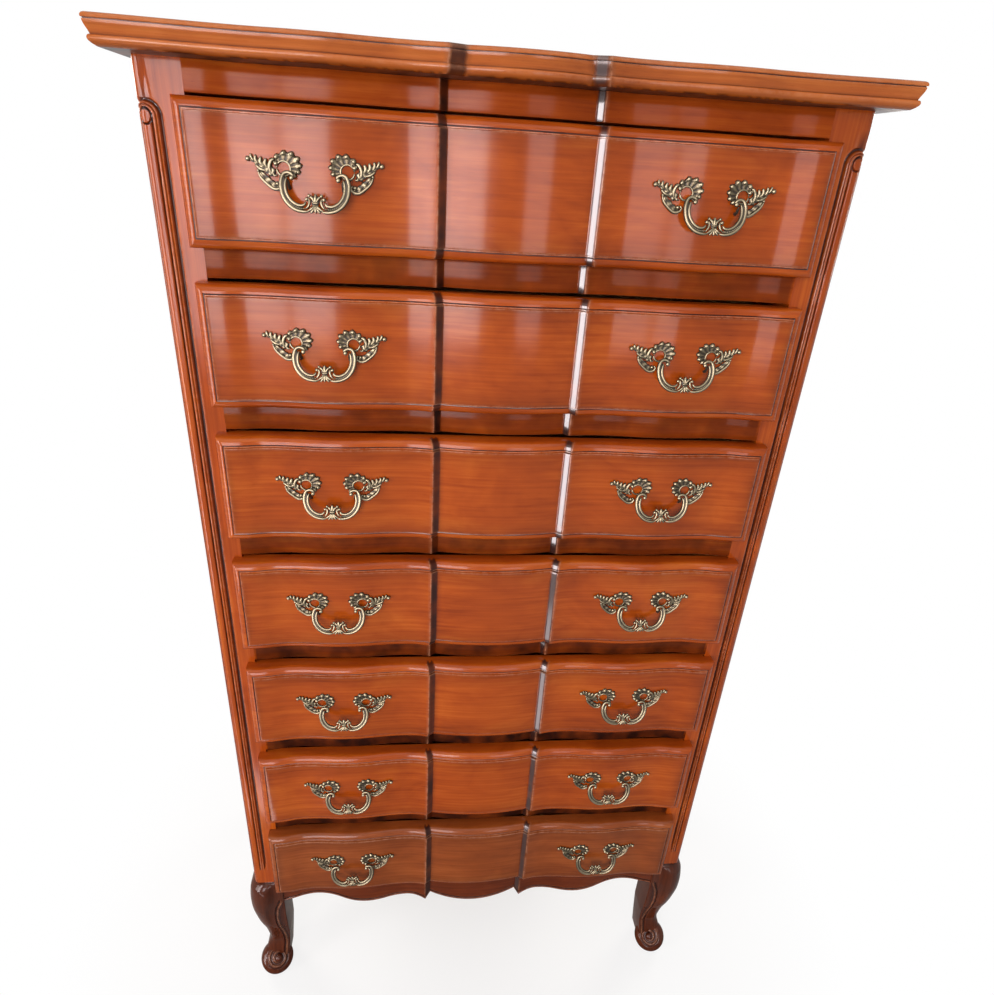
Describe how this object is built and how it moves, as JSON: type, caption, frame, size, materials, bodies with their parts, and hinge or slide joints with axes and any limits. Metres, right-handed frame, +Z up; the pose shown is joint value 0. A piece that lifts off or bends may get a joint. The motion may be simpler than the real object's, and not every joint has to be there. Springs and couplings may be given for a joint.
{
  "type": "semainier",
  "caption": "Tall narrow chest of drawers with a stepped serpentine front, moulded drawer fronts, brass bail pulls, reeded corner posts and cabriole legs",
  "frame": {"origin": "centre of the bounding box on the floor, under the middle of the case", "axes": "+X to the chest's right seen from the front, -Y out of the drawer fronts, +Z up"},
  "size_m": [0.82, 0.4703, 1.51],
  "materials": {
    "lacquered_cherry": "glossy orange-brown lacquer over cherry",
    "secondary_wood": "plain unfinished pale wood",
    "brass": "pale antiqued brass with dark recesses"
  },
  "bodies": {
    "case": {"top": "lacquered_cherry", "frieze_rail": "lacquered_cherry", "drawer_rails": "lacquered_cherry", "apron": "lacquered_cherry", "corner_post_left": "lacquered_cherry", "corner_post_right": "lacquered_cherry", "rear_posts": "lacquered_cherry", "rear_rails": "secondary_wood", "side_panel_left": "lacquered_cherry", "side_panel_right": "lacquered_cherry", "back_panel": "secondary_wood", "front_leg_left": "lacquered_cherry", "front_leg_right": "lacquered_cherry", "rear_leg_left": "lacquered_cherry", "rear_leg_right": "lacquered_cherry", "drawer_runners": "secondary_wood", "dust_bottom": "secondary_wood", "corner_blocks": "secondary_wood"},
    "drawer_1": {"drawer_1_front": "lacquered_cherry", "drawer_1_box": "secondary_wood", "drawer_1_bottom": "secondary_wood", "drawer_1_pulls": "brass"},
    "drawer_1_bail_left": {"drawer_1_bail_left": "brass"},
    "drawer_1_bail_right": {"drawer_1_bail_right": "brass"},
    "drawer_2": {"drawer_2_front": "lacquered_cherry", "drawer_2_box": "secondary_wood", "drawer_2_bottom": "secondary_wood", "drawer_2_pulls": "brass"},
    "drawer_2_bail_left": {"drawer_2_bail_left": "brass"},
    "drawer_2_bail_right": {"drawer_2_bail_right": "brass"},
    "drawer_3": {"drawer_3_front": "lacquered_cherry", "drawer_3_box": "secondary_wood", "drawer_3_bottom": "secondary_wood", "drawer_3_pulls": "brass"},
    "drawer_3_bail_left": {"drawer_3_bail_left": "brass"},
    "drawer_3_bail_right": {"drawer_3_bail_right": "brass"},
    "drawer_4": {"drawer_4_front": "lacquered_cherry", "drawer_4_box": "secondary_wood", "drawer_4_bottom": "secondary_wood", "drawer_4_pulls": "brass"},
    "drawer_4_bail_left": {"drawer_4_bail_left": "brass"},
    "drawer_4_bail_right": {"drawer_4_bail_right": "brass"},
    "drawer_5": {"drawer_5_front": "lacquered_cherry", "drawer_5_box": "secondary_wood", "drawer_5_bottom": "secondary_wood", "drawer_5_pulls": "brass"},
    "drawer_5_bail_left": {"drawer_5_bail_left": "brass"},
    "drawer_5_bail_right": {"drawer_5_bail_right": "brass"},
    "drawer_6": {"drawer_6_front": "lacquered_cherry", "drawer_6_box": "secondary_wood", "drawer_6_bottom": "secondary_wood", "drawer_6_pulls": "brass"},
    "drawer_6_bail_left": {"drawer_6_bail_left": "brass"},
    "drawer_6_bail_right": {"drawer_6_bail_right": "brass"},
    "drawer_7": {"drawer_7_front": "lacquered_cherry", "drawer_7_box": "secondary_wood", "drawer_7_bottom": "secondary_wood", "drawer_7_pulls": "brass"},
    "drawer_7_bail_left": {"drawer_7_bail_left": "brass"},
    "drawer_7_bail_right": {"drawer_7_bail_right": "brass"}
  },
  "joints": [
    {"name": "drawer_1_slide", "type": "slide", "parent": "case", "child": "drawer_1", "axis": [0, -1, 0], "range_m": [0, 0.33]},
    {"name": "drawer_1_bail_left_hinge", "type": "hinge", "parent": "drawer_1", "child": "drawer_1_bail_left", "pos_m": [-0.2125, -0.2245, 1.3845], "axis": [-1, 0, 0], "range_deg": [0, 75]},
    {"name": "drawer_1_bail_right_hinge", "type": "hinge", "parent": "drawer_1", "child": "drawer_1_bail_right", "pos_m": [0.2125, -0.2245, 1.3845], "axis": [-1, 0, 0], "range_deg": [0, 75]},
    {"name": "drawer_2_slide", "type": "slide", "parent": "case", "child": "drawer_2", "axis": [0, -1, 0], "range_m": [0, 0.33]},
    {"name": "drawer_2_bail_left_hinge", "type": "hinge", "parent": "drawer_2", "child": "drawer_2_bail_left", "pos_m": [-0.2125, -0.2245, 1.207], "axis": [-1, 0, 0], "range_deg": [0, 75]},
    {"name": "drawer_2_bail_right_hinge", "type": "hinge", "parent": "drawer_2", "child": "drawer_2_bail_right", "pos_m": [0.2125, -0.2245, 1.207], "axis": [-1, 0, 0], "range_deg": [0, 75]},
    {"name": "drawer_3_slide", "type": "slide", "parent": "case", "child": "drawer_3", "axis": [0, -1, 0], "range_m": [0, 0.33]},
    {"name": "drawer_3_bail_left_hinge", "type": "hinge", "parent": "drawer_3", "child": "drawer_3_bail_left", "pos_m": [-0.2125, -0.2245, 1.0295], "axis": [-1, 0, 0], "range_deg": [0, 75]},
    {"name": "drawer_3_bail_right_hinge", "type": "hinge", "parent": "drawer_3", "child": "drawer_3_bail_right", "pos_m": [0.2125, -0.2245, 1.0295], "axis": [-1, 0, 0], "range_deg": [0, 75]},
    {"name": "drawer_4_slide", "type": "slide", "parent": "case", "child": "drawer_4", "axis": [0, -1, 0], "range_m": [0, 0.33]},
    {"name": "drawer_4_bail_left_hinge", "type": "hinge", "parent": "drawer_4", "child": "drawer_4_bail_left", "pos_m": [-0.2125, -0.2245, 0.852], "axis": [-1, 0, 0], "range_deg": [0, 75]},
    {"name": "drawer_4_bail_right_hinge", "type": "hinge", "parent": "drawer_4", "child": "drawer_4_bail_right", "pos_m": [0.2125, -0.2245, 0.852], "axis": [-1, 0, 0], "range_deg": [0, 75]},
    {"name": "drawer_5_slide", "type": "slide", "parent": "case", "child": "drawer_5", "axis": [0, -1, 0], "range_m": [0, 0.33]},
    {"name": "drawer_5_bail_left_hinge", "type": "hinge", "parent": "drawer_5", "child": "drawer_5_bail_left", "pos_m": [-0.2125, -0.2245, 0.6745], "axis": [-1, 0, 0], "range_deg": [0, 75]},
    {"name": "drawer_5_bail_right_hinge", "type": "hinge", "parent": "drawer_5", "child": "drawer_5_bail_right", "pos_m": [0.2125, -0.2245, 0.6745], "axis": [-1, 0, 0], "range_deg": [0, 75]},
    {"name": "drawer_6_slide", "type": "slide", "parent": "case", "child": "drawer_6", "axis": [0, -1, 0], "range_m": [0, 0.33]},
    {"name": "drawer_6_bail_left_hinge", "type": "hinge", "parent": "drawer_6", "child": "drawer_6_bail_left", "pos_m": [-0.2125, -0.2245, 0.497], "axis": [-1, 0, 0], "range_deg": [0, 75]},
    {"name": "drawer_6_bail_right_hinge", "type": "hinge", "parent": "drawer_6", "child": "drawer_6_bail_right", "pos_m": [0.2125, -0.2245, 0.497], "axis": [-1, 0, 0], "range_deg": [0, 75]},
    {"name": "drawer_7_slide", "type": "slide", "parent": "case", "child": "drawer_7", "axis": [0, -1, 0], "range_m": [0, 0.33]},
    {"name": "drawer_7_bail_left_hinge", "type": "hinge", "parent": "drawer_7", "child": "drawer_7_bail_left", "pos_m": [-0.2125, -0.2245, 0.3195], "axis": [-1, 0, 0], "range_deg": [0, 75]},
    {"name": "drawer_7_bail_right_hinge", "type": "hinge", "parent": "drawer_7", "child": "drawer_7_bail_right", "pos_m": [0.2125, -0.2245, 0.3195], "axis": [-1, 0, 0], "range_deg": [0, 75]}
  ]
}
